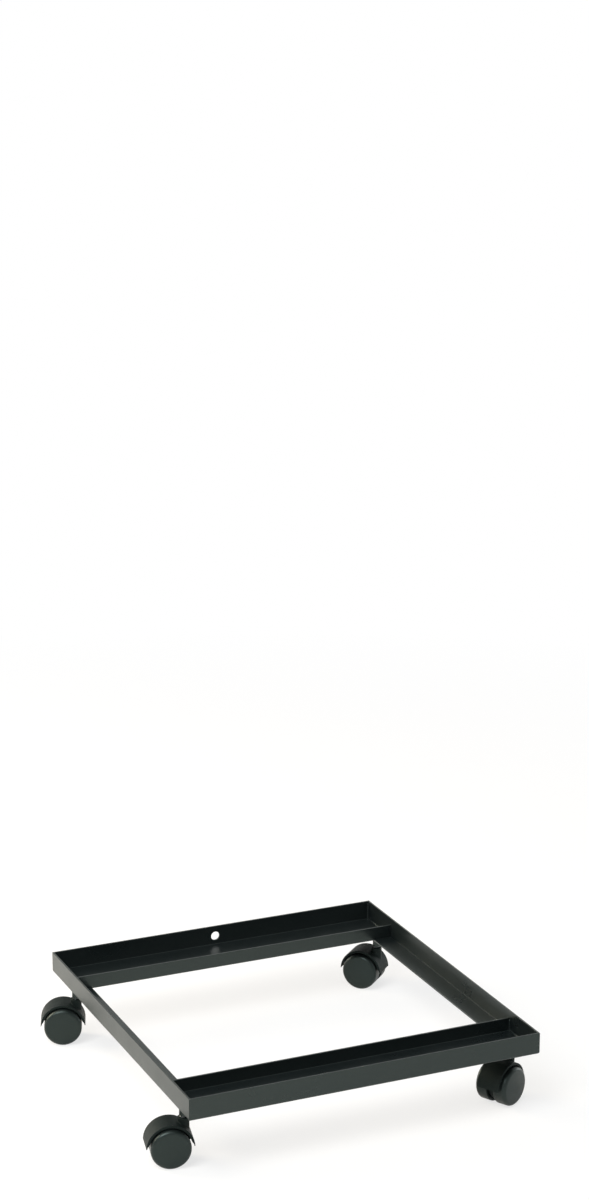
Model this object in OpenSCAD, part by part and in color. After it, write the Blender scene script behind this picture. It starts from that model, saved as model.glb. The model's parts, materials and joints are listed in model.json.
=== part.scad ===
// Stacking chair trolley: a low open frame of folded steel sheet on four hooded twin-wheel castors.
// Two J-shaped channels carry the feet of a stack and two angles tie them together.
// Each castor plugs into a socket under a channel, swivels on its stem and rolls on two free wheels.
// Millimetres. X runs along the front channel, Y runs from front to back, Z is up from the floor.

/* [Frame] */
// Width over the two side angles
frame_w = 480; // [400:1:640]
// Depth over the two channels
frame_l = 506; // [420:1:700]
// Thickness of the folded sheet
sheet_t = 2.5; // [1.5:0.1:3.5]
// Inside radius of the folds
fold_r = 0.6; // [0.4:0.1:2]
// Height of the outer flanges of channels and angles
flange_h = 29; // [24:0.5:45]

/* [Channels] */
// Width of a channel over its outer flange and its lip
channel_w = 78; // [70:1:110]
// Height of a channel's inner lip
lip_h = 20; // [12:0.5:28]
// Diameter of the hole in the back channel's outer flange
hole_d = 12.5; // [6:0.5:16]
// Height of the hole's centre above the channel's underside
hole_z = 14.5; // [12:0.5:16]

/* [Side angles] */
// Width of an angle's bottom flange
angle_w = 29; // [22:0.5:45]

/* [Castor places] */
// Distance from a side angle's outer face to the swivel axis
stem_inset_x = 14; // [11.5:0.5:60]
// Distance from a channel's outer face to the swivel axis
stem_inset_y = 55; // [20:0.5:58]
// Turn of the front left castor, zero with its axle along Y and its wheels to the left of its stem
turn_fl = -13; // [-180:1:180]
// Turn of the back left castor
turn_bl = -20; // [-180:1:180]
// Turn of the back right castor
turn_br = -47; // [-180:1:180]
// Turn of the front right castor
turn_fr = 28; // [-180:1:180]

/* [Sockets] */
// Length of a socket tube under the frame
socket_l = 18; // [16.5:0.5:40]
// Outside diameter of a socket tube
socket_d = 10.5; // [10:0.25:16]
// Leg of the weld bead round the socket's upper end
weld_leg = 1.5; // [1:0.25:3]

/* [Stems] */
// Diameter of the plug-in shank
shank_d = 7.5; // [6.5:0.25:8]
// Length of the plug-in shank
shank_l = 15; // [13:0.5:16]
// Diameter of the collar under the socket
collar_d = 9.5; // [9:0.25:14]
// Thickness of the collar
collar_t = 1; // [0.75:0.25:4]
// Diameter of the swivel pivot
pivot_d = 6; // [5:0.25:7.5]
// Length of the swivel pivot below the collar
pivot_l = 15; // [11:0.5:16]

/* [Grip rings] */
// Height of a grip ring
ring_h = 2.5; // [1.5:0.25:4]
// Radial thickness of a grip ring
ring_t = 1.2; // [0.8:0.1:1.6]
// Width of the slit in a grip ring
ring_slit = 2; // [1:0.25:4]
// Distance from the shank's upper end to the ring
ring_drop = 4; // [3:0.25:6]

/* [Hoods] */
// Height from the floor to the collar's upper face
castor_h = 61; // [59:0.5:70]
// Distance from the swivel axis back to the axle
trail = 18; // [17:0.5:21]
// Wall thickness of the hood
hood_t = 2.25; // [2:0.25:4]
// Radial gap between the tread and the inside of the hood
hood_gap = 2.5; // [1:0.1:3]
// Width of the hood over its two rims
hood_w = 33; // [32:0.5:42]
// Height of the hood's lower ends above the axle
hood_rise = 1; // [0:0.5:10]
// Thickness of the web between the wheels
web_t = 9; // [8.5:0.25:10]
// Distance from the tread down to the web's lower edge
web_drop = 4; // [2:0.5:8]
// Diameter of the boss round the pivot
boss_d = 15; // [12:0.25:18]

/* [Wheels] */
// Diameter of a wheel
wheel_d = 51; // [47:0.5:53]
// Width over the outer faces of the two wheels of a castor
wheels_w = 48.5; // [46:0.5:58]
// Edge radius between the tread and the outer face
edge_r = 5; // [4:0.25:9]
// Radius of the domed outer face
dome_r = 200; // [80:5:400]
// Thickness of the rim under the tread
rim_t = 3.5; // [2:0.25:5]
// Thickness of the outer face
face_t = 3.5; // [2.5:0.25:5]
// Diameter of the hub
hub_d = 15; // [12:0.25:20]

/* [Axles] */
// Diameter of an axle
axle_d = 8; // [6:0.25:9]
// Width of a snap ridge in a bore
snap_w = 1.2; // [0.8:0.1:1.6]
// Height of a snap ridge
snap_h = 0.4; // [0.2:0.05:0.6]
// Distance from the end of an axle or a pivot to its snap groove
snap_drop = 3; // [2.5:0.25:4]

/* [Clearances] */
// Radial clearance of a running fit
run_c = 0.05; // [0.02:0.01:0.09]
// Axial gap between parts that turn against each other
face_c = 0.4; // [0.3:0.05:0.8]
// Gap round a snap ridge in its groove
snap_c = 0.15; // [0.1:0.05:0.3]
// Gap at the blind end of a bore
end_c = 0.5; // [0.3:0.1:1]

/* [Hidden] */
$fn = 96;

// Overrun of every cut past the face it opens
cut = 1;
// Heights above the floor
frame_z = castor_h + socket_l;
boss_z = castor_h - collar_t - face_c;
axle_z = wheel_d / 2;
// Radii of a castor
wheel_r = wheel_d / 2;
well_r = wheel_r + hood_gap;
hood_r = well_r + hood_t;
// Snap grooves and ridges
groove_w = snap_w + 2 * snap_c;
groove_h = snap_h + snap_c;
// Wheel widths, measured outward from the wheel's inner face
wheel_in = web_t / 2 + face_c;
wheel_w = wheels_w / 2 - wheel_in;
bore_l = wheel_w - face_t;
axle_l = 2 * (wheel_in + bore_l - end_c);
// Middle of the wheel's edge arc, which runs into the tread and into the dome, and the radius where it meets the dome
edge_z = wheel_w - dome_r + sqrt(pow(dome_r - edge_r, 2) - pow(wheel_r - edge_r, 2));
edge_x = dome_r * (wheel_r - edge_r) / (dome_r - edge_r);
// Room cut over the boss for the collar and the socket
seat_r = max(collar_d / 2, socket_d / 2 + weld_leg) + face_c;
// Channel runs between the upright flanges of the angles
channel_l = frame_w - 2 * sheet_t;
fold_out = fold_r + sheet_t;
// Castors in the order front left, back left, back right, front right
FL = 0;
BL = 1;
BR = 2;
FR = 3;
turns = [turn_fl, turn_bl, turn_br, turn_fr];
stem_x = frame_w / 2 - stem_inset_x;
stem_y = frame_l / 2 - stem_inset_y;
stem_xy = [[-stem_x, -stem_y], [-stem_x, stem_y], [stem_x, stem_y], [stem_x, -stem_y]];
// Reach of a castor's hood from its axle's middle, along X and along Y
hood_half = sqrt(hood_r * hood_r - hood_rise * hood_rise);
function reach_x(a) = hood_half * abs(cos(a)) + hood_w / 2 * abs(sin(a));
function reach_y(a) = hood_half * abs(sin(a)) + hood_w / 2 * abs(cos(a));
function mid_x(i) = stem_xy[i][0] - trail * cos(turns[i]);
function mid_y(i) = stem_xy[i][1] - trail * sin(turns[i]);
// Place of the frame so that the whole part's box is centred on the origin
left_end = min(-frame_w / 2, min([for (i = [FL:FR]) mid_x(i) - reach_x(turns[i])]));
right_end = max(frame_w / 2, max([for (i = [FL:FR]) mid_x(i) + reach_x(turns[i])]));
front_end = min(-frame_l / 2, min([for (i = [FL:FR]) mid_y(i) - reach_y(turns[i])]));
back_end = max(frame_l / 2, max([for (i = [FL:FR]) mid_y(i) + reach_y(turns[i])]));
place = [-(left_end + right_end) / 2, -(front_end + back_end) / 2, 0];
steel = "dimgray";
plastic = "darkslategray";
bright = "silver";

// Area from x = 0 to w and y = 0 to h with its two lower corners rounded to radius r
module tray_2d(w, h, r) {
  translate([r, 0]) square([w - 2 * r, h]);
  translate([0, r]) square([w, h - r]);
  for (x = [r, w - r]) translate([x, r]) circle(r = r);
}

// Sheet folded up at both sides of a floor, w wide over all and h high
module fold_2d(w, h) {
  difference() {
    tray_2d(w, h, fold_out);
    translate([sheet_t, sheet_t]) tray_2d(w - 2 * sheet_t, h, fold_r);
  }
}

// Folded angle section with its corner at the origin: w along x, h along y
module angle_2d(w, h) {
  difference() {
    fold_2d(2 * w, h);
    translate([w, -cut]) square([w + cut, h + 2 * cut]);
  }
}

// Channel section: outer flange at x = 0, floor along x, inner lip at x = channel_w
module channel_2d() {
  difference() {
    fold_2d(channel_w, flange_h);
    translate([channel_w / 2, lip_h]) square([channel_w, flange_h]);
  }
}

// Channel with its outer flange on the front of the frame
module channel() {
  translate([-channel_l / 2, -frame_l / 2, frame_z])
    rotate([90, 0, 90]) linear_extrude(channel_l) channel_2d();
}

// Angle on the left of the frame, its bottom flange cut back to run between the channels
module side_angle() {
  difference() {
    translate([-frame_w / 2, frame_l / 2, frame_z])
      rotate([90, 0, 0]) linear_extrude(frame_l) angle_2d(angle_w, flange_h);
    for (s = [0, 1]) mirror([0, s, 0])
      translate([-frame_w / 2 + sheet_t, -frame_l / 2 - cut, frame_z - cut])
        cube([angle_w, channel_w + cut, flange_h + 2 * cut]);
  }
}

// Moves its children to the place and turn of castor i, from a castor drawn on its swivel axis
module at_castor(i) {
  translate(place) translate([stem_xy[i][0], stem_xy[i][1], 0]) rotate(turns[i]) children();
}

// Moves its children from the Z axis to the axle of a castor drawn on its swivel axis
module at_axle() {
  translate([-trail, 0, axle_z]) rotate([90, 0, 0]) children();
}

// Outline of a blind bore of radius r and depth l with its snap ridge, right of the axis, mouth at y = 0
module bore_2d(r, l) {
  difference() {
    translate([0, -cut]) square([r + run_c, l + cut]);
    translate([r + run_c - snap_h, l - end_c - snap_drop - groove_w + snap_c]) square([snap_h + cut, snap_w]);
  }
}

// Outline of the snap groove in a shaft of radius r, right of the axis, for a free end at y = l
module groove_2d(r, l) {
  translate([r - groove_h, l - snap_drop - groove_w]) square([groove_h + cut, groove_w]);
}

// Tube under the channel that takes a stem, welded on with a bead
module socket() {
  color(steel) rotate_extrude() difference() {
    polygon([
      [0, castor_h],
      [socket_d / 2, castor_h],
      [socket_d / 2, frame_z - weld_leg],
      [socket_d / 2 + weld_leg, frame_z],
      [0, frame_z]
    ]);
    translate([0, castor_h - cut]) square([shank_d / 2 + run_c, socket_l + 2 * cut]);
  }
}

// Steel stem: plug-in shank with a ring groove, collar, and the pivot that the hood swivels on
module stem() {
  ring_in = shank_d / 2 - ring_t;
  ring_z = castor_h + shank_l - ring_drop - ring_h;
  color(bright) rotate_extrude() difference() {
    union() {
      translate([0, castor_h - collar_t]) square([collar_d / 2, collar_t]);
      translate([0, castor_h - collar_t]) square([shank_d / 2, shank_l + collar_t]);
      translate([0, castor_h - collar_t - pivot_l]) square([pivot_d / 2, pivot_l + collar_t]);
    }
    translate([ring_in, ring_z]) square([ring_t + cut, ring_h]);
    translate([0, castor_h - collar_t]) mirror([0, 1]) groove_2d(pivot_d / 2, pivot_l);
  }
}

// Split spring ring that grips the socket from the stem's groove
module grip_ring() {
  ring_in = shank_d / 2 - ring_t + run_c;
  ring_z = castor_h + shank_l - ring_drop - ring_h;
  color(bright) difference() {
    translate([0, 0, ring_z]) cylinder(h = ring_h, r = shank_d / 2);
    translate([0, 0, ring_z - cut]) cylinder(h = ring_h + 2 * cut, r = ring_in);
    translate([0, -ring_slit / 2, ring_z - cut]) cube([shank_d, ring_slit, ring_h + 2 * cut]);
  }
}

// Hood over both wheels with the web between them and the boss for the stem
module hood() {
  color(plastic) difference() {
    union() {
      at_axle() linear_extrude(hood_w, center = true) intersection() {
        circle(r = hood_r);
        translate([-hood_r, hood_rise]) square([2 * hood_r, hood_r]);
      }
      at_axle() linear_extrude(web_t, center = true) circle(r = wheel_r - web_drop);
      translate([0, 0, axle_z + hood_rise]) cylinder(h = boss_z - axle_z - hood_rise, d = boss_d);
    }
    for (s = [0, 1]) mirror([0, s, 0])
      at_axle() translate([0, 0, web_t / 2]) cylinder(h = hood_w, r = well_r);
    at_axle() cylinder(h = web_t + 2 * cut, r = axle_d / 2 + run_c, center = true);
    translate([0, 0, boss_z]) mirror([0, 0, 1]) rotate_extrude() {
      bore_2d(pivot_d / 2, pivot_l - face_c + end_c);
      translate([0, -castor_h]) square([seat_r, castor_h]);
    }
  }
}

// Steel axle through the hood's web with a snap groove near each end
module axle() {
  color(bright) at_axle() rotate_extrude() difference() {
    translate([0, -axle_l / 2]) square([axle_d / 2, axle_l]);
    for (s = [0, 1]) mirror([0, s]) groove_2d(axle_d / 2, axle_l / 2);
  }
}

// Wheel with a domed outer face, hollow behind it, drawn with its inner face at z = 0
module wheel() {
  color(plastic) rotate_extrude() difference() {
    union() {
      square([wheel_r, edge_z]);
      translate([wheel_r - edge_r, edge_z]) circle(r = edge_r);
      intersection() {
        translate([0, wheel_w - dome_r]) circle(r = dome_r);
        square([edge_x, wheel_w]);
      }
    }
    translate([hub_d / 2, -cut]) square([wheel_r - rim_t - hub_d / 2, edge_z - face_t + cut]);
    bore_2d(axle_d / 2, bore_l);
  }
}

// Wheel on the side of the castor that its axle's normal points to
module wheel_outer() {
  at_axle() translate([0, 0, wheel_in]) wheel();
}

// Wheel on the other side of the web
module wheel_inner() {
  at_axle() mirror([0, 0, 1]) translate([0, 0, wheel_in]) wheel();
}

module front_channel() {
  color(steel) translate(place) channel();
}

module back_channel() {
  color(steel) translate(place) difference() {
    mirror([0, 1, 0]) channel();
    translate([0, frame_l / 2 + cut, frame_z + hole_z])
      rotate([90, 0, 0]) cylinder(h = sheet_t + 2 * cut, d = hole_d);
  }
}

module left_angle() {
  color(steel) translate(place) side_angle();
}

module right_angle() {
  color(steel) translate(place) mirror([1, 0, 0]) side_angle();
}

module fl_socket() { at_castor(FL) socket(); }
module fl_stem() { at_castor(FL) stem(); }
module fl_grip_ring() { at_castor(FL) grip_ring(); }
module fl_hood() { at_castor(FL) hood(); }
module fl_axle() { at_castor(FL) axle(); }
module fl_wheel_outer() { at_castor(FL) wheel_outer(); }
module fl_wheel_inner() { at_castor(FL) wheel_inner(); }

module bl_socket() { at_castor(BL) socket(); }
module bl_stem() { at_castor(BL) stem(); }
module bl_grip_ring() { at_castor(BL) grip_ring(); }
module bl_hood() { at_castor(BL) hood(); }
module bl_axle() { at_castor(BL) axle(); }
module bl_wheel_outer() { at_castor(BL) wheel_outer(); }
module bl_wheel_inner() { at_castor(BL) wheel_inner(); }

module br_socket() { at_castor(BR) socket(); }
module br_stem() { at_castor(BR) stem(); }
module br_grip_ring() { at_castor(BR) grip_ring(); }
module br_hood() { at_castor(BR) hood(); }
module br_axle() { at_castor(BR) axle(); }
module br_wheel_outer() { at_castor(BR) wheel_outer(); }
module br_wheel_inner() { at_castor(BR) wheel_inner(); }

module fr_socket() { at_castor(FR) socket(); }
module fr_stem() { at_castor(FR) stem(); }
module fr_grip_ring() { at_castor(FR) grip_ring(); }
module fr_hood() { at_castor(FR) hood(); }
module fr_axle() { at_castor(FR) axle(); }
module fr_wheel_outer() { at_castor(FR) wheel_outer(); }
module fr_wheel_inner() { at_castor(FR) wheel_inner(); }

front_channel();
back_channel();
left_angle();
right_angle();
fl_socket();
fl_stem();
fl_grip_ring();
fl_hood();
fl_axle();
fl_wheel_outer();
fl_wheel_inner();
bl_socket();
bl_stem();
bl_grip_ring();
bl_hood();
bl_axle();
bl_wheel_outer();
bl_wheel_inner();
br_socket();
br_stem();
br_grip_ring();
br_hood();
br_axle();
br_wheel_outer();
br_wheel_inner();
fr_socket();
fr_stem();
fr_grip_ring();
fr_hood();
fr_axle();
fr_wheel_outer();
fr_wheel_inner();
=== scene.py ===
"""Looks of the stacking chair trolley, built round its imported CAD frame.

The frame gives every place: node boxes for the folded rails, joints for the castors. Each new piece is a surface
worked out with numpy, in metres, and stands for its CAD node. Only the weld beads at the corners stand for none.
"""

import json
import logging
import math
from abc import ABC, abstractmethod
from dataclasses import dataclass, field
from enum import Enum
from typing import Any

import bmesh
import bpy
import numpy as np
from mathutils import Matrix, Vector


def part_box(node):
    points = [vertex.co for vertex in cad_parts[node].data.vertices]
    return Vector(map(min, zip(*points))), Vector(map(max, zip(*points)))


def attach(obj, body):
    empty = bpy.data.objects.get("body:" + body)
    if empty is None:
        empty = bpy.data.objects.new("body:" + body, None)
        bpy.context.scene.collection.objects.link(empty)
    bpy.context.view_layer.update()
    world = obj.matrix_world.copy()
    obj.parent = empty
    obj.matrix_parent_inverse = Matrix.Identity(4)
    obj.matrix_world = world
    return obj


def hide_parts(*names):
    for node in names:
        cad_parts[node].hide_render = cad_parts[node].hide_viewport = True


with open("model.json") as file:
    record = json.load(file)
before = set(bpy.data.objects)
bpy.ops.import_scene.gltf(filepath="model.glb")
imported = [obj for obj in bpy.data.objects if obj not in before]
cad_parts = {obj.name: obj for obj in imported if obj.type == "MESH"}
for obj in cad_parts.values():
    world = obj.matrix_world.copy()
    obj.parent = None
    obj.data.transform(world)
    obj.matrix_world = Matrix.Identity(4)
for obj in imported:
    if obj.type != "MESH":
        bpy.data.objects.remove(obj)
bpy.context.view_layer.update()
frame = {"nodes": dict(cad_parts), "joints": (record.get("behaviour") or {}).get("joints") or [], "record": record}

log = logging.getLogger("trolley")
MM = 0.001
TINY = 1e-12
FULL_TURN = 2 * np.pi
QUARTER = np.pi / 2
Array = np.ndarray


# Surfaces


@dataclass
class Shell:
    """Points and faces of one closed surface."""

    points: Array
    faces: list[list[int]]


def grid_faces(rows: int, cols: int, around_rows: bool, around_cols: bool) -> list[list[int]]:
    """Quads of a grid of rows by cols points, numbered row by row.

    Args:
        rows: Number of rows of points.
        cols: Number of points in a row.
        around_rows: Whether the last row joins the first.
        around_cols: Whether the last column joins the first.

    Returns:
        Each quad as four point numbers.
    """
    r = np.arange(rows if around_rows else rows - 1)[:, None]
    c = np.arange(cols if around_cols else cols - 1)[None, :]
    r1, c1 = (r + 1) % rows, (c + 1) % cols
    corners = [r * cols + c, r * cols + c1, r1 * cols + c1, r1 * cols + c]
    return np.stack([np.broadcast_to(k, (r.size, c.size)) for k in corners], -1).reshape(-1, 4).tolist()


def ringed(points: Array, capped: bool = False) -> Shell:
    """Shell of closed rings that follow each other.

    Args:
        points: Rings by points by axes.
        capped: Whether a face closes the first and the last ring; otherwise each lies on one point or they meet.

    Returns:
        The closed shell; points that fall together merge later.
    """
    rows, cols = points.shape[:2]
    faces = grid_faces(rows, cols, False, True)
    if capped:
        faces += [list(range(cols))[::-1], list(range((rows - 1) * cols, rows * cols))]
    return Shell(points.reshape(-1, 3), faces)


def unit(v: Array) -> Array:
    """Vectors scaled to length one along the last axis."""
    return v / np.maximum(np.linalg.norm(v, axis=-1, keepdims=True), TINY)


def smooth_step(x: Array) -> Array:
    """Rises from 0 to 1 as x does, level at both ends: 3x^2 - 2x^3."""
    t = np.clip(x, 0, 1)
    return t * t * (3 - 2 * t)


def rounded(corners: list[tuple[float, float]], radii: list[float], steps: int = 7) -> Array:
    """Closed outline with an arc at each corner.

    Each arc is centred on the bisector at radius / sin(half angle) and runs between its two tangent points by
    spherical interpolation.

    Args:
        corners: Corner points of the outline, in order.
        radii: Arc radius at each corner.
        steps: Points on each arc.

    Returns:
        Points of the outline, one row each.
    """
    p, r = np.array(corners, float), np.array(radii, float)[:, None]
    d0, d1 = unit(np.roll(p, 1, 0) - p), unit(np.roll(p, -1, 0) - p)
    half = 0.5 * np.arccos(np.clip((d0 * d1).sum(-1, keepdims=True), -1, 1))
    centre = p + unit(d0 + d1) * r / np.sin(half)
    start, end = p + d0 * r / np.tan(half) - centre, p + d1 * r / np.tan(half) - centre
    turn = (np.pi - 2 * half)[:, None]
    t = np.linspace(0, 1, steps)[None, :, None]
    arc = (np.sin((1 - t) * turn) * start[:, None] + np.sin(t * turn) * end[:, None]) / np.sin(turn)
    return (centre[:, None] + arc).reshape(-1, 2)


def carried(outline: Array, stations: Array, u: int, v: int, along: int) -> Shell:
    """Outline carried straight along an axis, with both ends closed.

    Args:
        outline: Closed outline, its columns along axes u and v.
        stations: Places along the axis where a ring is set.
        u: Axis number of the outline's first column.
        v: Axis number of its second column.
        along: Axis number that it is carried along.

    Returns:
        The closed shell: point (s, k) is outline k at station s.
    """
    points = np.empty((len(stations), len(outline), 3))
    points[..., u], points[..., v] = outline[:, 0], outline[:, 1]
    points[..., along] = stations[:, None]
    return ringed(points, capped=True)


def turned(profile: Array, segments: int) -> Shell:
    """Profile turned about the Z axis.

    Args:
        profile: Profile as radius and height; it starts and ends on the axis or closes on itself.
        segments: Steps round the axis.

    Returns:
        Shell with point (k, j) at (r_k cos a_j, r_k sin a_j, h_k).
    """
    a = np.linspace(0, FULL_TURN, segments, endpoint=False)
    r, h = profile[:, :1], profile[:, 1:]
    return ringed(np.stack([r * np.cos(a), r * np.sin(a), np.broadcast_to(h, (len(profile), segments))], -1))


def drill(radius: float, low: float, high: float, segments: int = 64) -> Shell:
    """Round bore about the Z axis from low to high, to be taken out of a piece."""
    return turned(np.array([(0, low), (radius, low), (radius, high), (0, high)]), segments)


def bead(path: Array, side: Array, radius: Array, around: int = 12) -> Shell:
    """Round bead along a flat path.

    Args:
        path: Points of the path, in space.
        side: Unit vector square to the path's plane.
        radius: Bead radius at each point; zero at both ends closes it.
        around: Points round the bead.

    Returns:
        Shell with point (s, j) at path_s + radius_s (cos a_j n_s + sin a_j side), n_s square to the path.
    """
    along = unit(np.gradient(path, axis=0))
    n = np.cross(side[None, :], along)
    a = np.linspace(0, FULL_TURN, around, endpoint=False)[None, :, None]
    ring = np.cos(a) * n[:, None] + np.sin(a) * side[None, None, :]
    return ringed(path[:, None] + radius[:, None, None] * ring)


# Nodes and finishes


def linear(hex_colour: str) -> tuple[float, float, float, float]:
    """sRGB hex colour as linear RGBA."""
    c = np.array([int(hex_colour[i:i + 2], 16) for i in (1, 3, 5)]) / 255
    return (*np.where(c <= 0.04045, c / 12.92, ((c + 0.055) / 1.055) ** 2.4).tolist(), 1.0)


def per_mm(size: float) -> float:
    """Noise scale, per metre, whose features are about size millimetres across."""
    return 1.0 / (size * MM)


def add(
    tree: bpy.types.NodeTree, kind: str, settings: dict[str, Any] | None = None, **inputs: Any
) -> bpy.types.Node:
    """Adds a node, sets its properties, and sets or links its inputs.

    Args:
        tree: Node tree that gets the node.
        kind: Blender's name of the node type.
        settings: Properties of the node.
        inputs: Input values or output sockets, by socket name with spaces as underscores, or _0, _1 by place.

    Returns:
        The new node.
    """
    made = tree.nodes.new(kind)
    for key, value in (settings or {}).items():
        setattr(made, key, value)
    for key, value in inputs.items():
        socket = made.inputs[int(key[1:]) if key[1:].isdigit() else key.replace("_", " ")]
        if isinstance(value, bpy.types.NodeSocket):
            tree.links.new(value, socket)
        else:
            socket.default_value = value
    return made


@dataclass(frozen=True)
class Finish(ABC):
    """A surface finish: named for the real material, with its colour and optical values.

    The gloss is the shader's specular level, tinted by gloss_tint. The roughness drifts from patch to patch by the
    two values of drift.
    """

    name: str
    colour: str
    roughness: float
    gloss: float = 0.5
    gloss_tint: str = "#ffffff"
    drift: tuple[float, float] = (-0.05, 0.05)

    @abstractmethod
    def build(self) -> bpy.types.Material:
        """Makes the finished material."""

    def start(self) -> tuple[bpy.types.Material, bpy.types.NodeTree, bpy.types.Node, bpy.types.NodeSocket]:
        """Starts the material.

        Returns:
            The material, its node tree, its shader and the Object coordinate socket.
        """
        material = bpy.data.materials.new(self.name)
        material.use_nodes = True
        tree = material.node_tree
        tree.nodes.clear()
        shader = add(tree, "ShaderNodeBsdfPrincipled", None, Specular_IOR_Level=self.gloss,
                     Specular_Tint=linear(self.gloss_tint))
        add(tree, "ShaderNodeOutputMaterial", Surface=shader.outputs[0])
        place = add(tree, "ShaderNodeTexCoord").outputs["Object"]
        return material, tree, shader, place

    def cloud_gloss(self, tree: bpy.types.NodeTree, shader: bpy.types.Node, cloud: bpy.types.NodeSocket) -> None:
        """Lets the roughness drift with a noise.

        Args:
            tree: Node tree of the material.
            shader: Its shader.
            cloud: Noise socket, of which the middle stretch counts.
        """
        rough = add(tree, "ShaderNodeMapRange", None, Value=cloud, From_Min=0.3, From_Max=0.7,
                    To_Min=self.roughness + self.drift[0], To_Max=self.roughness + self.drift[1])
        tree.links.new(rough.outputs[0], shader.inputs["Roughness"])


@dataclass(frozen=True)
class StovedEnamel(Finish):
    """Black stoving enamel on folded steel: semi-gloss, with the slow ripple of sprayed paint and a little dust."""

    drift: tuple[float, float] = (-0.04, 0.05)
    cloud_mm: float = 70
    speck_mm: float = 1.6
    peel_mm: float = 2.2
    peel_depth_mm: float = 0.2
    dust: str = "#8b8a80"
    dust_share: float = 0.05

    def build(self) -> bpy.types.Material:
        """Makes the material: cloudy gloss, orange peel and thin dust in patches.

        Returns:
            The finished material.
        """
        material, tree, shader, place = self.start()
        cloud = add(tree, "ShaderNodeTexNoise", None, Vector=place, Scale=per_mm(self.cloud_mm), Detail=4.0,
                    Roughness=0.55).outputs[0]
        self.cloud_gloss(tree, shader, cloud)
        speck = add(tree, "ShaderNodeTexNoise", None, Vector=place, Scale=per_mm(self.speck_mm), Detail=2.0,
                    Roughness=0.6).outputs[0]
        settled = add(tree, "ShaderNodeMapRange", None, Value=speck, From_Min=0.5, From_Max=0.8).outputs[0]
        patch = add(tree, "ShaderNodeMapRange", None, Value=cloud, From_Min=0.35, From_Max=0.75,
                    To_Max=self.dust_share).outputs[0]
        dusty = add(tree, "ShaderNodeMath", {"operation": "MULTIPLY"}, _0=settled, _1=patch).outputs[0]
        colour = add(tree, "ShaderNodeMix", {"data_type": "RGBA"}, _0=dusty, _6=linear(self.colour),
                     _7=linear(self.dust))
        tree.links.new(colour.outputs[2], shader.inputs["Base Color"])
        peel = add(tree, "ShaderNodeTexNoise", None, Vector=place, Scale=per_mm(self.peel_mm), Detail=1.0)
        bump = add(tree, "ShaderNodeBump", None, Height=peel.outputs[0], Strength=0.05,
                   Distance=self.peel_depth_mm * MM)
        tree.links.new(bump.outputs[0], shader.inputs["Normal"])
        return material


@dataclass(frozen=True)
class MouldedPlastic(Finish):
    """Injection-moulded black plastic: satin from a spark-eroded mould, with flow clouds and handling scuffs."""

    drift: tuple[float, float] = (-0.05, 0.06)
    flow_mm: float = 18
    rub_mm: float = 5
    grain_mm: float = 0.7
    grain_depth_mm: float = 0.06
    scuff: str = "#5c605d"
    scuff_share: float = 0.12

    def build(self) -> bpy.types.Material:
        """Makes the material: fine mould grain, cloudy gloss and sparse paler scuffs.

        Returns:
            The finished material.
        """
        material, tree, shader, place = self.start()
        flow = add(tree, "ShaderNodeTexNoise", None, Vector=place, Scale=per_mm(self.flow_mm), Detail=3.0,
                   Roughness=0.5)
        self.cloud_gloss(tree, shader, flow.outputs[0])
        rub = add(tree, "ShaderNodeTexNoise", None, Vector=place, Scale=per_mm(self.rub_mm), Detail=6.0,
                  Roughness=0.7)
        scuffed = add(tree, "ShaderNodeMapRange", None, Value=rub.outputs[0], From_Min=0.62, From_Max=0.78,
                      To_Max=self.scuff_share)
        colour = add(tree, "ShaderNodeMix", {"data_type": "RGBA"}, _0=scuffed.outputs[0], _6=linear(self.colour),
                     _7=linear(self.scuff))
        tree.links.new(colour.outputs[2], shader.inputs["Base Color"])
        # Mould grain is finer than this on the real piece; drawn at a size that the render can show
        grain = add(tree, "ShaderNodeTexNoise", None, Vector=place, Scale=per_mm(self.grain_mm), Detail=2.0)
        bump = add(tree, "ShaderNodeBump", None, Height=grain.outputs[0], Strength=0.12,
                   Distance=self.grain_depth_mm * MM)
        tree.links.new(bump.outputs[0], shader.inputs["Normal"])
        return material


@dataclass(frozen=True)
class ZincPlate(Finish):
    """Bright zinc plate on turned steel: metallic grey with a faint cloud of passivation."""

    drift: tuple[float, float] = (-0.06, 0.08)
    cloud_mm: float = 4
    tint: str = "#a9adb0"

    def build(self) -> bpy.types.Material:
        """Makes the material: metal whose tint and gloss drift over a few millimetres.

        Returns:
            The finished material.
        """
        material, tree, shader, place = self.start()
        shader.inputs["Metallic"].default_value = 1.0
        cloud = add(tree, "ShaderNodeTexNoise", None, Vector=place, Scale=per_mm(self.cloud_mm), Detail=4.0,
                    Roughness=0.6).outputs[0]
        self.cloud_gloss(tree, shader, cloud)
        colour = add(tree, "ShaderNodeMix", {"data_type": "RGBA"}, _0=cloud, _6=linear(self.colour),
                     _7=linear(self.tint))
        tree.links.new(colour.outputs[2], shader.inputs["Base Color"])
        return material


class Slot(Enum):
    """Material slots of the record."""

    PAINT = "black_painted_steel"
    HOOD = "black_hood_plastic"
    WHEEL = "black_wheel_plastic"
    STEEL = "bright_steel"


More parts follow.
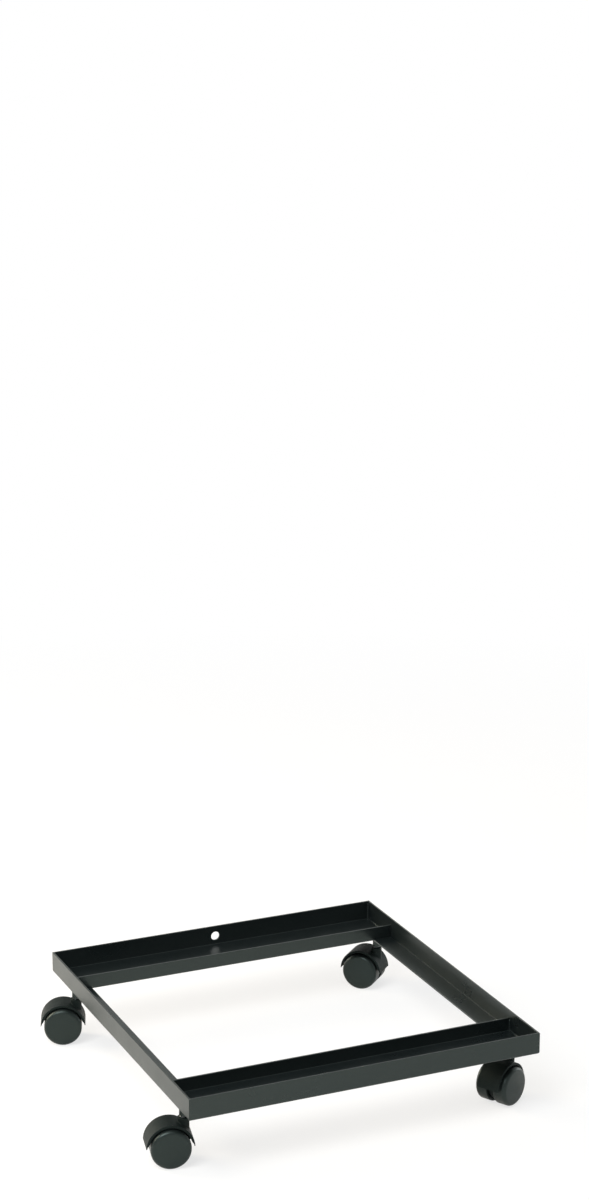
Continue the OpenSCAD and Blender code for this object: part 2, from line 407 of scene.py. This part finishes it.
FINISHES: dict[Slot, Finish] = {
    # Sprayed and stoved over folded sheet: dark, and bright only where it mirrors the floor at a low angle
    Slot.PAINT: StovedEnamel("stoved black enamel on steel", "#111617", 0.3, gloss=0.55, gloss_tint="#ebfff8"),
    # Moulded with a dull face: soft broad light on the curve of the hood and no sharp highlight
    Slot.HOOD: MouldedPlastic("moulded black polypropylene", "#171d1c", 0.5, gloss=0.11, gloss_tint="#e6fffa"),
    # Moulded with a finer face than the hood: satin, with a clear highlight along the wheel's shoulder
    Slot.WHEEL: MouldedPlastic("moulded black nylon", "#161b1a", 0.34, gloss=0.38, gloss_tint="#e6fffa",
                               grain_mm=0.5, scuff_share=0.08),
    # Plated after turning: a grey metal with small reflections
    Slot.STEEL: ZincPlate("bright zinc on turned steel", "#8f9498", 0.28),
}


# Making pieces


class Solid(Enum):
    """Ways to work one closed shell into another."""

    JOIN = "UNION"
    CUT = "DIFFERENCE"


@dataclass
class Workshop:
    """Makes pieces out of shells: meshes, finishes, bodies and slots."""

    merge: float = 0.001 * MM
    sharp_deg: float = 35
    soften_deg: float = 50
    soften_steps: int = 3
    flat_weight: int = 80
    materials: dict[Slot, bpy.types.Material] = field(default_factory=dict)

    def finish(self, slot: Slot) -> bpy.types.Material:
        """Material of a slot, made on first use.

        Args:
            slot: Record slot of the finish.

        Returns:
            The material that all its pieces share.
        """
        if slot not in self.materials:
            self.materials[slot] = FINISHES[slot].build()
        return self.materials[slot]

    def clean(self, data: bpy.types.Mesh) -> None:
        """Merges repeated points, drops faces without area and turns all faces outward.

        Args:
            data: Mesh to clean in place.
        """
        made = bmesh.new()
        made.from_mesh(data)
        bmesh.ops.remove_doubles(made, verts=made.verts, dist=self.merge)
        bmesh.ops.dissolve_degenerate(made, edges=made.edges, dist=self.merge)
        bmesh.ops.recalc_face_normals(made, faces=made.faces)
        made.to_mesh(data)
        made.free()

    def mesh(self, name: str, shell: Shell) -> bpy.types.Object:
        """Mesh object of a shell, cleaned.

        Args:
            name: Name of the object.
            shell: Its points and faces.

        Returns:
            The linked object.
        """
        data = bpy.data.meshes.new(name)
        data.from_pydata(shell.points.tolist(), [], shell.faces)
        self.clean(data)
        piece = bpy.data.objects.new(name, data)
        bpy.context.scene.collection.objects.link(piece)
        return piece

    def shape(self, piece: bpy.types.Object, shell: Shell, how: Solid) -> None:
        """Joins a closed shell to a piece or takes it out, for good.

        Args:
            piece: Mesh object that changes.
            shell: Closed shell to join or to take out.
            how: Which of the two.
        """
        tool = self.mesh(piece.name + "_tool", shell)
        boolean = piece.modifiers.new("shape", "BOOLEAN")
        boolean.object, boolean.operation, boolean.solver = tool, how.value, "EXACT"
        graph = bpy.context.evaluated_depsgraph_get()
        whole, spent = piece.data, tool.data
        piece.data = bpy.data.meshes.new_from_object(piece.evaluated_get(graph))
        piece.data.name = piece.name
        self.clean(piece.data)
        piece.modifiers.clear()
        bpy.data.objects.remove(tool)
        for data in (whole, spent):
            bpy.data.meshes.remove(data)

    def dress(self, piece: bpy.types.Object, slot: Slot, body: str, *nodes: str, soften: float = 0.0) -> None:
        """Smooths and finishes a piece and sets it on its body.

        Args:
            piece: Mesh object in place.
            slot: Record slot of its finish.
            body: CAD body that it rides on.
            nodes: CAD nodes that it stands for.
            soften: Width of the rounding on edges that are still sharp, or zero.
        """
        piece.data.polygons.foreach_set("use_smooth", np.ones(len(piece.data.polygons), bool))
        piece.data.set_sharp_from_angle(angle=math.radians(self.sharp_deg))
        if soften:
            edge = piece.modifiers.new("soften", "BEVEL")
            edge.width, edge.segments = soften, self.soften_steps
            edge.limit_method, edge.angle_limit = "ANGLE", math.radians(self.soften_deg)
        flat = piece.modifiers.new("flat", "WEIGHTED_NORMAL")
        flat.keep_sharp, flat.weight = True, self.flat_weight
        piece.data.materials.clear()
        piece.data.materials.append(self.finish(slot))
        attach(piece, body)
        if nodes:
            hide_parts(*nodes)
        log.info("%s on %s", piece.name, body)


# The folded frame


@dataclass
class FoldedFrame:
    """Two J-shaped channels and two angles of folded sheet, welded at the corners."""

    shop: Workshop
    sheet: float = 2.5 * MM
    fold: float = 0.6 * MM
    lip: float = 20 * MM
    edge: float = 0.3 * MM
    soften: float = 0.25 * MM
    hole: float = 12.5 * MM
    overrun: float = 1 * MM
    waste_steps: int = 9
    bead_r: float = 1.6 * MM
    bead_pitch: float = 3.2 * MM
    bead_ripple: float = 0.12
    bead_end: float = 2 * MM
    bead_stop: float = 2 * MM
    bead_steps: int = 220

    def __post_init__(self) -> None:
        """Reads the places of the rails from the CAD frame."""
        self.front = np.array(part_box("front_channel"))
        self.back = np.array(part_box("back_channel"))
        self.left = np.array(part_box("left_angle"))
        self.right = np.array(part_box("right_angle"))
        self.under, self.top = self.front[0, 2], self.front[1, 2]

    def channel_outline(self, outer: float, inner: float) -> Array:
        """Section of a channel.

        Args:
            outer: Y of the outer flange's outer face.
            inner: Y of the lip's outer face.

        Returns:
            Closed outline along Y and Z: flange, floor and lip with rounded folds and edges.
        """
        t = math.copysign(self.sheet, inner - outer)
        low, top, lip = self.under, self.top, self.under + self.lip
        floor, big = low + self.sheet, self.fold + self.sheet
        corners = [(outer, top), (outer, low), (inner, low), (inner, lip),
                   (inner - t, lip), (inner - t, floor), (outer + t, floor), (outer + t, top)]
        return rounded(corners, [self.edge, big, big, self.edge, self.edge, self.fold, self.fold, self.edge])

    def angle_outline(self, outer: float, inner: float) -> Array:
        """Section of a side angle.

        Args:
            outer: X of the upright flange's outer face.
            inner: X of the bottom flange's free edge.

        Returns:
            Closed outline along X and Z.
        """
        t = math.copysign(self.sheet, inner - outer)
        low, top, floor = self.under, self.top, self.under + self.sheet
        corners = [(outer, top), (outer, low), (inner, low), (inner, floor), (outer + t, floor), (outer + t, top)]
        return rounded(corners, [self.edge, self.fold + self.sheet, self.edge, self.edge, self.fold, self.edge])

    def fold_waste(self, rail: Array, front: bool) -> Array:
        """What is ground off an angle's end, so that it follows the rounded lower fold of its channel.

        Args:
            rail: Box of the channel.
            front: Whether it is the front channel.

        Returns:
            Closed outline along Y and Z: a square corner less a quarter circle.
        """
        s, outer = (1, rail[0, 1]) if front else (-1, rail[1, 1])
        big = self.fold + self.sheet
        far, low = outer - s * self.overrun, self.under - self.overrun
        q = np.linspace(0, QUARTER, self.waste_steps)
        arc = np.stack([outer + s * big * (1 - np.sin(q)), self.under + big * (1 - np.cos(q))], 1)
        rest = np.array([(far, self.under + big), (far, low), (outer + s * big, low)])
        return np.vstack([arc, rest])

    def channels(self) -> None:
        """Builds both channels and drills the back one's flange."""
        ends = self.front[:, 0]
        outline = self.channel_outline(self.front[0, 1], self.front[1, 1])
        front = self.shop.mesh("front_channel_skin", carried(outline, ends, 1, 2, 0))
        self.shop.dress(front, Slot.PAINT, "frame", "front_channel")
        outline = self.channel_outline(self.back[1, 1], self.back[0, 1])
        back = self.shop.mesh("back_channel_skin", carried(outline, ends, 1, 2, 0))
        mount = next(m for m in frame["record"]["mounts"] if m["name"] == "back_hole")
        reach = 4 * self.sheet
        bore = drill(self.hole / 2, -reach, reach)
        x, y, z = bore.points.T
        bore.points = np.array(mount["pos_m"]) + np.stack([x, z, y], 1)
        self.shop.shape(back, bore, Solid.CUT)
        self.shop.dress(back, Slot.PAINT, "frame", "back_channel", soften=self.soften)

    def angles(self) -> None:
        """Builds both side angles, with their bottom flanges cut back where the channels run."""
        for name, box, outer, inner in (("left_angle", self.left, 0, 1), ("right_angle", self.right, 1, 0)):
            outline = self.angle_outline(box[outer, 0], box[inner, 0])
            piece = self.shop.mesh(name + "_skin", carried(outline, box[:, 1], 0, 2, 1))
            t = math.copysign(self.sheet, box[inner, 0] - box[outer, 0])
            x = np.sort([box[outer, 0] + t, box[inner, 0] + t])
            z = (self.under - self.sheet, self.top + self.sheet)
            block = np.array([(x[0], z[0]), (x[1], z[0]), (x[1], z[1]), (x[0], z[1])])
            width = box[:, 0] + np.array([-1, 1]) * self.sheet
            for rail, front in ((self.front, True), (self.back, False)):
                near = rail[1, 1] if front else rail[0, 1]
                far = rail[0, 1] - self.sheet if front else rail[1, 1] + self.sheet
                self.shop.shape(piece, carried(block, np.sort([near, far]), 0, 2, 1), Solid.CUT)
                self.shop.shape(piece, carried(self.fold_waste(rail, front), width, 1, 2, 0), Solid.CUT)
            self.shop.dress(piece, Slot.PAINT, "frame", name, soften=self.soften)

    def welds(self) -> None:
        """Lays a rippled bead along each seam between a channel's end and an angle.

        The path is the channel's inner outline at the angle's face. The radius is bead_r with a cosine ripple
        at bead_pitch and ends in a quarter circle at both ends.
        """
        for rail, outer, inner, word in ((self.front, 0, 1, "front"), (self.back, 1, 0, "back")):
            t = math.copysign(self.sheet, rail[inner, 1] - rail[outer, 1])
            y0, y1 = rail[outer, 1] + t, rail[inner, 1] - t
            floor, lip = self.under + self.sheet, self.under + self.lip
            legs = np.array([(y0, self.top - self.bead_stop), (y0, floor), (y1, floor), (y1, lip - self.bead_stop)])
            reach = np.concatenate([[0], np.cumsum(np.linalg.norm(np.diff(legs, axis=0), axis=1))])
            at = np.linspace(0, reach[-1], self.bead_steps)
            y, z = np.interp(at, reach, legs[:, 0]), np.interp(at, reach, legs[:, 1])
            end = np.clip(np.minimum(at, reach[-1] - at) / self.bead_end, 0, 1)
            ripple = 1 + self.bead_ripple * np.cos(FULL_TURN * at / self.bead_pitch)
            radius = self.bead_r * np.sqrt(end * (2 - end)) * ripple
            for side, hand, name in ((0, 1.0, "left"), (1, -1.0, "right")):
                path = np.stack([np.full_like(at, rail[side, 0]), y, z], 1)
                piece = self.shop.mesh(f"{word}_{name}_weld", bead(path, np.array([hand, 0.0, 0.0]), radius))
                self.shop.dress(piece, Slot.PAINT, "frame")


# Castors


@dataclass
class Castor:
    """Hooded twin-wheel castor, drawn on its swivel axis with its axle along Y and set in place by its joints."""

    shop: Workshop
    key: str
    # Hood, with the bead inside its edges and its thinned ears
    hood_t: float = 2.25 * MM
    hood_gap: float = 2.5 * MM
    hood_w: float = 33 * MM
    hood_rise: float = 1 * MM
    hood_edge: float = 0.5 * MM
    hood_steps: int = 97
    rim_w: float = 1.6 * MM
    rim_h: float = 1.0 * MM
    rim_edge: float = 0.3 * MM
    ear_deg: float = 16
    ear_thin: float = 0.7
    # Web between the wheels: shares where its edge is broken, and sines between which it grows into the hood
    web_t: float = 9 * MM
    web_drop: float = 4 * MM
    web_edge: tuple[float, float] = (0.97, 0.8)
    web_rise: tuple[float, float] = (0.05, 0.25)
    # Boss round the pivot
    boss_r: float = 7.5 * MM
    boss_flare: float = 1.0 * MM
    boss_crown: float = 0.8 * MM
    boss_sink: float = 0.6
    boss_lap: float = 0.1 * MM
    boss_steps: int = 96
    boss_arc: int = 10
    boss_rows: int = 8
    # Stem and socket
    collar_r: float = 4.75 * MM
    collar_t: float = 1.0 * MM
    shank_r: float = 3.75 * MM
    shank_l: float = 15 * MM
    pivot_r: float = 3.0 * MM
    pivot_l: float = 15 * MM
    socket_r: float = 5.25 * MM
    turned_edge: float = 0.4 * MM
    weld: float = 1.4 * MM
    weld_ripple: float = 0.07
    weld_ripples: int = 14
    weld_root: float = 0.9
    weld_arc: int = 9
    # Wheels, with the broken edges of rim and tread on their inner side
    wheels_w: float = 48.5 * MM
    shoulder: float = 5 * MM
    dome: float = 200 * MM
    rim_t: float = 3.5 * MM
    face_t: float = 3.5 * MM
    hub_r: float = 7.5 * MM
    rim_break: float = 0.3 * MM
    tread_break: tuple[float, float, float] = (0.8 * MM, 0.25 * MM, 0.9 * MM)
    axle_r: float = 4 * MM
    wheel_steps: int = 128
    shoulder_arc: int = 14
    dome_arc: int = 26
    # Room between pieces that turn on each other, and steps round the small ones
    gap: float = 0.4 * MM
    play: float = 0.05 * MM
    small_steps: int = 64

    def __post_init__(self) -> None:
        """Reads the swivel axis, the axle and the heights from the CAD frame."""
        joints = {j["name"]: j for j in frame["joints"]}
        stem = np.array(joints[f"{self.key}_swivel"]["pos_m"])
        roll = joints[f"{self.key}_outer_roll"]
        axle, normal = np.array(roll["pos_m"]), np.array(roll["axis"])
        self.origin = np.array([stem[0], stem[1], 0.0])
        self.basis = np.array([[-normal[1], normal[0], 0], [-normal[0], -normal[1], 0], [0, 0, 1]])
        self.trail = float(np.linalg.norm(axle[:2] - stem[:2]))
        self.wheel_r = float(axle[2])
        self.height = float(stem[2])
        self.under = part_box(f"{self.key}_socket")[1][2]
        self.well_r = self.wheel_r + self.hood_gap
        self.hood_r = self.well_r + self.hood_t

    def place(self, piece: bpy.types.Object) -> None:
        """Moves a piece's points from the castor's own axes to its place and turn.

        Args:
            piece: Mesh object to move, by its points.
        """
        flat = np.empty(3 * len(piece.data.vertices), np.float32)
        piece.data.vertices.foreach_get("co", flat)
        there = self.origin + flat.reshape(-1, 3) @ self.basis
        piece.data.vertices.foreach_set("co", there.astype(np.float32).ravel())
        piece.data.update()

    def on_axle(self, shell: Shell, side: float) -> Shell:
        """Shell turned about Z laid along the axle, its heights counted outward on the given side."""
        x, y, z = shell.points.T
        return Shell(np.stack([x - self.trail, -side * z, y + self.wheel_r], 1), shell.faces)

    def hood_shell(self) -> Shell:
        """Band over both wheels.

        A section, axial by radial, with a small bead inside each edge is carried round the axle from ear to ear.
        Near its ends the section thins from inside, so that each ear runs out to a point on the outside.

        Returns:
            Closed shell on the castor's own axes.
        """
        w, r0, r1 = self.hood_w / 2, self.well_r, self.hood_r
        n, d = self.rim_w, self.rim_h
        half = [(w - n - d, r0), (w - n, r0 - d), (w, r0 - d), (w, r1)]
        corners = [(-x, r) for x, r in half[::-1]] + half
        section = rounded(corners, [self.hood_edge, *[self.rim_edge] * 6, self.hood_edge])
        low = math.asin(self.hood_rise / r1)
        a = np.linspace(low, np.pi - low, self.hood_steps)[:, None]
        to_end = np.minimum(a - low, np.pi - low - a)
        thin = 1 - self.ear_thin * smooth_step(1 - to_end / math.radians(self.ear_deg))
        radial = r1 - (r1 - section[:, 1]) * thin
        axial = np.broadcast_to(section[:, 0], radial.shape)
        points = np.stack([radial * np.cos(a) - self.trail, axial, radial * np.sin(a) + self.wheel_r], -1)
        return ringed(points, capped=True)

    def web_shell(self) -> Shell:
        """Plate between the wheels: a disc whose radius grows smoothly into the hood above the axle.

        Returns:
            Closed shell on the castor's own axes.
        """
        c, d = self.web_edge
        share = np.array([(0, -1), (c, -1), (1, -d), (1, d), (c, 1), (0, 1)], float)
        a = np.linspace(0, FULL_TURN, self.wheel_steps, endpoint=False)
        small, large = self.wheel_r - self.web_drop, self.well_r + self.hood_t / 2
        low, high = self.web_rise
        r = share[:, :1] * (small + (large - small) * smooth_step((np.sin(a) - low) / (high - low)))
        y = np.broadcast_to(share[:, 1:] * self.web_t / 2, r.shape)
        return ringed(np.stack([r * np.cos(a) - self.trail, y, r * np.sin(a) + self.wheel_r], -1))

    def boss_shell(self) -> Shell:
        """Upright boss round the pivot.

        Point (k, j) lies at radius r_k and angle a_j. The first rows lie sunk in the hood; the next flare by a
        quarter circle on to its outer surface, whose height is axle + sqrt(hood_r^2 - (x + trail)^2).

        Returns:
            Closed shell on the castor's own axes.
        """
        top = self.height - self.collar_t - self.gap
        a = np.linspace(0, FULL_TURN, self.boss_steps, endpoint=False)[None, :]
        q = np.linspace(0, QUARTER, self.boss_arc)[:, None]
        flare, crown = self.boss_flare, self.boss_crown

        def on_hood(r: Array) -> Array:
            """Height of the hood's outside under radius r."""
            room = self.hood_r ** 2 - (r * np.cos(a) + self.trail) ** 2
            return self.wheel_r + np.sqrt(np.maximum(room, self.hood_rise ** 2))

        spread = self.boss_r + flare * (1 - np.sin(q))
        foot = on_hood(spread) + flare * (1 - np.cos(q)) - self.boss_lap
        rim = np.concatenate([self.boss_r - crown * (1 - np.cos(q)), [[self.pivot_r], [0.0]]])
        lift = np.concatenate([top - crown * (1 - np.sin(q)), [[top], [top]]])
        inside = spread[:1] * np.linspace(0, 1, self.boss_rows)[:, None]
        sunk = on_hood(inside) - self.boss_sink * self.hood_t
        r = np.concatenate([inside, spread, rim])
        z = np.concatenate([sunk, foot, np.broadcast_to(lift, (len(lift), a.size))])
        return ringed(np.stack([r * np.cos(a), r * np.sin(a), np.minimum(z, top)], -1))

    def pivot_bore(self) -> Shell:
        """Straight bore down the boss for the pivot, open at the top."""
        low = self.height - self.collar_t - self.pivot_l - self.gap
        return drill(self.pivot_r + self.play, low, self.height, self.small_steps)

    def axle_bore(self) -> Shell:
        """Straight bore through the web for the axle."""
        return self.on_axle(drill(self.axle_r + self.play, -self.web_t, self.web_t, self.small_steps), 1.0)

    def wheel_profile(self) -> Array:
        """Profile of a wheel: bore, hollow back, tread, shoulder and dome.

        The shoulder is an arc tangent to the tread and, from inside, to the dome, so its centre lies at
        dome - shoulder from the dome's centre.

        Returns:
            Profile as radius and height from the wheel's inner face, from the bore's end to the dome's crown.
        """
        w = self.wheels_w / 2 - self.web_t / 2 - self.gap
        r, e, big = self.wheel_r, self.shoulder, self.dome
        seat = w - big + math.sqrt((big - e) ** 2 - (r - e) ** 2)
        end, deep = w - self.face_t, seat - self.face_t
        pin, hub, rim, b = self.axle_r + self.play, self.hub_r, r - self.rim_t, self.rim_break
        wide, mid, high = self.tread_break
        back = np.array([(0, end), (pin, end), (pin, 0), (hub, 0), (hub, deep), (rim, deep), (rim, b), (rim + b, 0),
                         (r - wide, 0), (r - mid, mid), (r, high)])
        tip = math.atan2(seat - (w - big), r - e)
        q = np.linspace(0, tip, self.shoulder_arc)
        shoulder = np.stack([r - e + e * np.cos(q), seat + e * np.sin(q)], 1)
        q = np.linspace(tip, QUARTER, self.dome_arc)[1:]
        crown = np.stack([big * np.cos(q), w - big + big * np.sin(q)], 1)
        return np.vstack([back, shoulder, crown])

    def build(self) -> None:
        """Builds and dresses the castor's pieces; axle and grip ring keep their CAD shapes and get their finish."""
        self.hood()
        self.wheels()
        self.stem()
        self.socket()
        for word in ("axle", "grip_ring"):
            node = frame["nodes"][f"{self.key}_{word}"]
            node.data.materials.clear()
            node.data.materials.append(self.shop.finish(Slot.STEEL))
            log.info("%s_%s keeps its CAD shape", self.key, word)

    def hood(self) -> None:
        """Moulds the hood: band, web and boss in one, with bores for pivot and axle."""
        piece = self.shop.mesh(f"{self.key}_hood_skin", self.hood_shell())
        for shell in (self.web_shell(), self.boss_shell()):
            self.shop.shape(piece, shell, Solid.JOIN)
        for shell in (self.pivot_bore(), self.axle_bore()):
            self.shop.shape(piece, shell, Solid.CUT)
        self.place(piece)
        self.shop.dress(piece, Slot.HOOD, f"{self.key}_castor", f"{self.key}_hood")

    def wheels(self) -> None:
        """Turns both wheels, one on each side of the web."""
        profile = self.wheel_profile() + np.array([0, self.web_t / 2 + self.gap])
        for word, side in (("outer", 1.0), ("inner", -1.0)):
            shell = self.on_axle(turned(profile, self.wheel_steps), side)
            piece = self.shop.mesh(f"{self.key}_{word}_wheel_skin", shell)
            self.place(piece)
            self.shop.dress(piece, Slot.WHEEL, f"{self.key}_{word}", f"{self.key}_wheel_{word}")

    def stem(self) -> None:
        """Turns the stem: pivot, collar with softened edges, and shank up into the socket."""
        z, e, under = self.height, self.turned_edge, self.height - self.collar_t
        p, c, k = self.pivot_r, self.collar_r, self.shank_r
        low, high = under - self.pivot_l, z + self.shank_l
        profile = np.array([(0, low), (p - e, low), (p, low + e), (p, under), (c - e, under), (c, under + e),
                            (c, z - e), (c - e, z), (k, z), (k, high - e), (k - e, high), (0, high)])
        piece = self.shop.mesh(f"{self.key}_stem_skin", turned(profile, self.small_steps))
        self.place(piece)
        self.shop.dress(piece, Slot.STEEL, "frame", f"{self.key}_stem")

    def socket(self) -> None:
        """Turns the socket tube and lays a rippled weld bead round its upper end.

        The bead's section is a quarter circle, whose radius has a cosine ripple, closed inside the tube's wall.
        """
        r, low, top, e = self.socket_r, self.height, self.under, self.turned_edge
        bore = self.shank_r + self.play
        tube = turned(np.array([(bore, top), (bore, low + e), (bore + e, low), (r - e, low), (r, low + e), (r, top),
                                (bore, top)]), self.small_steps)
        a = np.linspace(0, FULL_TURN, self.boss_steps, endpoint=False)[:, None]
        q = np.linspace(-QUARTER, 0, self.weld_arc)[None, :]
        size = self.weld * (1 + self.weld_ripple * np.cos(self.weld_ripples * a))
        root = np.full((len(a), 2), self.weld_root * r)
        inside = np.broadcast_to([top, top - self.weld], root.shape)
        out = np.concatenate([r + size * np.cos(q), root], 1)
        lift = np.concatenate([top + size * np.sin(q), inside], 1)
        ring = np.stack([out * np.cos(a), out * np.sin(a), lift], -1)
        weld = Shell(ring.reshape(-1, 3), grid_faces(*ring.shape[:2], True, True))
        piece = self.shop.mesh(f"{self.key}_socket_skin", tube)
        self.shop.shape(piece, weld, Solid.JOIN)
        self.place(piece)
        self.shop.dress(piece, Slot.PAINT, "frame", f"{self.key}_socket")


# Stage


@dataclass(frozen=True)
class SoftBox:
    """A square lamp: where it hangs, what it faces, its side in metres, its power and its colour."""

    name: str
    place: tuple[float, float, float]
    aim: tuple[float, float, float]
    side: float
    watts: float
    tint: str = "#ffffff"

    def hang(self) -> None:
        """Adds the lamp to the scene and turns its face to the aim."""
        data = bpy.data.lights.new(self.name, "AREA")
        data.shape, data.size = "SQUARE", self.side
        data.energy, data.color = self.watts, linear(self.tint)[:3]
        lamp = bpy.data.objects.new(self.name, data)
        bpy.context.scene.collection.objects.link(lamp)
        lamp.location = self.place
        x, y, z = np.array(self.place) - np.array(self.aim)
        lamp.rotation_euler = (math.atan2(math.hypot(x, y), z), 0, math.atan2(x, -y))


@dataclass
class Studio:
    """Pale sweep, soft light and the camera at the photograph's viewing angle; lengths in metres."""

    # Camera: angles in degrees, place from the frame's middle at its underside, focal length in image pixels
    azimuth: float = -23.89
    pitch: float = 14.74
    spot: tuple[float, float, float] = (-1.3062, -2.9732, 1.4172)
    focal_px: float = 2646.5
    image_h: int = 1200
    # Sweep: depth in front and behind, radius of the bend, height and half width
    ahead: float = 6.0
    reach: float = 3.4
    bend: float = 1.4
    bend_steps: int = 24
    rise: float = 5.0
    half_w: float = 7.0
    # Paper: share of glow near the trolley, distances where it starts to grow and is full, and its share in mirrors
    paper_tone: str = "#f4f4f2"
    glow: float = 0.7
    glow_grows: tuple[float, float] = (0.6, 2.2)
    mirrored: float = 0.35
    # Lamps, and the even light of the room
    room: float = 0.55
    boxes: tuple[SoftBox, ...] = (
        SoftBox("left_box", (-1.7, -1.0, 2.7), (0.0, 0.0, 0.08), 1.8, 84.0),
        SoftBox("back_box", (-1.5, 1.3, 1.0), (-0.6, 0.5, 0.0), 1.0, 40.0, "#ffefd6"),
        SoftBox("right_box", (2.5, 0.3, 0.52), (0.24, 0.0, 0.05), 0.9, 9.0),
    )

    def camera(self, under: float, middle: float) -> None:
        """Sets the camera, placed from the frame's middle at its underside.

        Args:
            under: Height of the frame's underside.
            middle: X of the frame's middle.
        """
        data = bpy.data.cameras.new("photo_camera")
        data.sensor_width = 36.0
        data.lens = self.focal_px / self.image_h * data.sensor_width
        data.clip_end = 100.0
        camera = bpy.data.objects.new("photo_camera", data)
        bpy.context.scene.collection.objects.link(camera)
        camera.location = (self.spot[0] + middle, self.spot[1], self.spot[2] + under)
        camera.rotation_euler = (math.radians(90 - self.pitch), 0, math.radians(self.azimuth))
        bpy.context.scene.camera = camera

    def sweep(self) -> None:
        """Builds the pale floor that curves up into a backdrop.

        The section runs level, turns up through a quarter circle and rises; it is carried along X.
        """
        q = np.linspace(-QUARTER, 0, self.bend_steps)
        y = np.concatenate([[-self.ahead], self.reach + self.bend * np.cos(q), [self.reach + self.bend]])
        z = np.concatenate([[0.0], self.bend + self.bend * np.sin(q), [self.rise]])
        x = np.array([-self.half_w, self.half_w])
        points = np.stack(np.broadcast_arrays(x[:, None], y[None, :], z[None, :]), -1).reshape(-1, 3)
        data = bpy.data.meshes.new("studio_sweep")
        data.from_pydata(points.tolist(), [], grid_faces(len(x), len(y), False, False))
        data.polygons.foreach_set("use_smooth", np.ones(len(data.polygons), bool))
        floor = bpy.data.objects.new("studio_sweep", data)
        bpy.context.scene.collection.objects.link(floor)
        data.materials.append(self.paper())

    def seen(self, tree: bpy.types.NodeTree) -> bpy.types.NodeSocket:
        """How far the plain white background shows: fully to the camera, by a share in reflections and glass.

        Args:
            tree: Node tree of the paper or the world.

        Returns:
            Socket that is 1 for the camera's rays, mirrored for glossy and transmitted ones and 0 for light.
        """
        path = add(tree, "ShaderNodeLightPath").outputs
        other = add(tree, "ShaderNodeMath", {"operation": "MAXIMUM"}, _0=path["Is Glossy Ray"],
                    _1=path["Is Transmission Ray"])
        return add(tree, "ShaderNodeMath", {"operation": "MULTIPLY_ADD"}, _0=other.outputs[0], _1=self.mirrored,
                   _2=path["Is Camera Ray"]).outputs[0]

    def paper(self) -> bpy.types.Material:
        """Matt white paper that reads white and keeps a shadow.

        It is partly lit and partly glowing, and away from the trolley it glows fully. The glow lights nothing.

        Returns:
            The finished material.
        """
        material = bpy.data.materials.new("matt white paper")
        material.use_nodes = True
        tree = material.node_tree
        tree.nodes.clear()
        matt = add(tree, "ShaderNodeBsdfDiffuse", None, Color=linear(self.paper_tone))
        white = add(tree, "ShaderNodeEmission", None, Color=linear("#ffffff"), Strength=1.0)
        place = add(tree, "ShaderNodeTexCoord").outputs["Object"]
        far = add(tree, "ShaderNodeVectorMath", {"operation": "LENGTH"}, _0=place).outputs["Value"]
        glowing = add(tree, "ShaderNodeMapRange", None, Value=far, From_Min=self.glow_grows[0],
                      From_Max=self.glow_grows[1], To_Min=self.glow)
        share = add(tree, "ShaderNodeMath", {"operation": "MULTIPLY"}, _0=self.seen(tree), _1=glowing.outputs[0])
        mix = add(tree, "ShaderNodeMixShader", None, _0=share.outputs[0], _1=matt.outputs[0], _2=white.outputs[0])
        add(tree, "ShaderNodeOutputMaterial", Surface=mix.outputs[0])
        return material

    def light(self) -> None:
        """Lights the scene with an even room, plain white where the camera sees it, and the soft boxes."""
        scene = bpy.context.scene
        scene.world = bpy.data.worlds.new("white room")
        scene.world.use_nodes = True
        tree = scene.world.node_tree
        back = tree.nodes["Background"]
        back.inputs["Color"].default_value = linear("#ffffff")
        level = add(tree, "ShaderNodeMapRange", None, Value=self.seen(tree), To_Min=self.room)
        tree.links.new(level.outputs[0], back.inputs["Strength"])
        for box in self.boxes:
            box.hang()
        scene.view_settings.view_transform = "Standard"


def main() -> None:
    """Builds the stage, the frame and the castors."""
    logging.basicConfig(level=logging.INFO, format="%(name)s: %(message)s")
    shop = Workshop()
    rails = FoldedFrame(shop)
    studio = Studio()
    studio.camera(rails.under, float(rails.front[:, 0].mean()))
    studio.sweep()
    studio.light()
    rails.channels()
    rails.angles()
    rails.welds()
    for key in ("fl", "bl", "br", "fr"):
        Castor(shop, key).build()


if __name__ == "__main__":
    main()
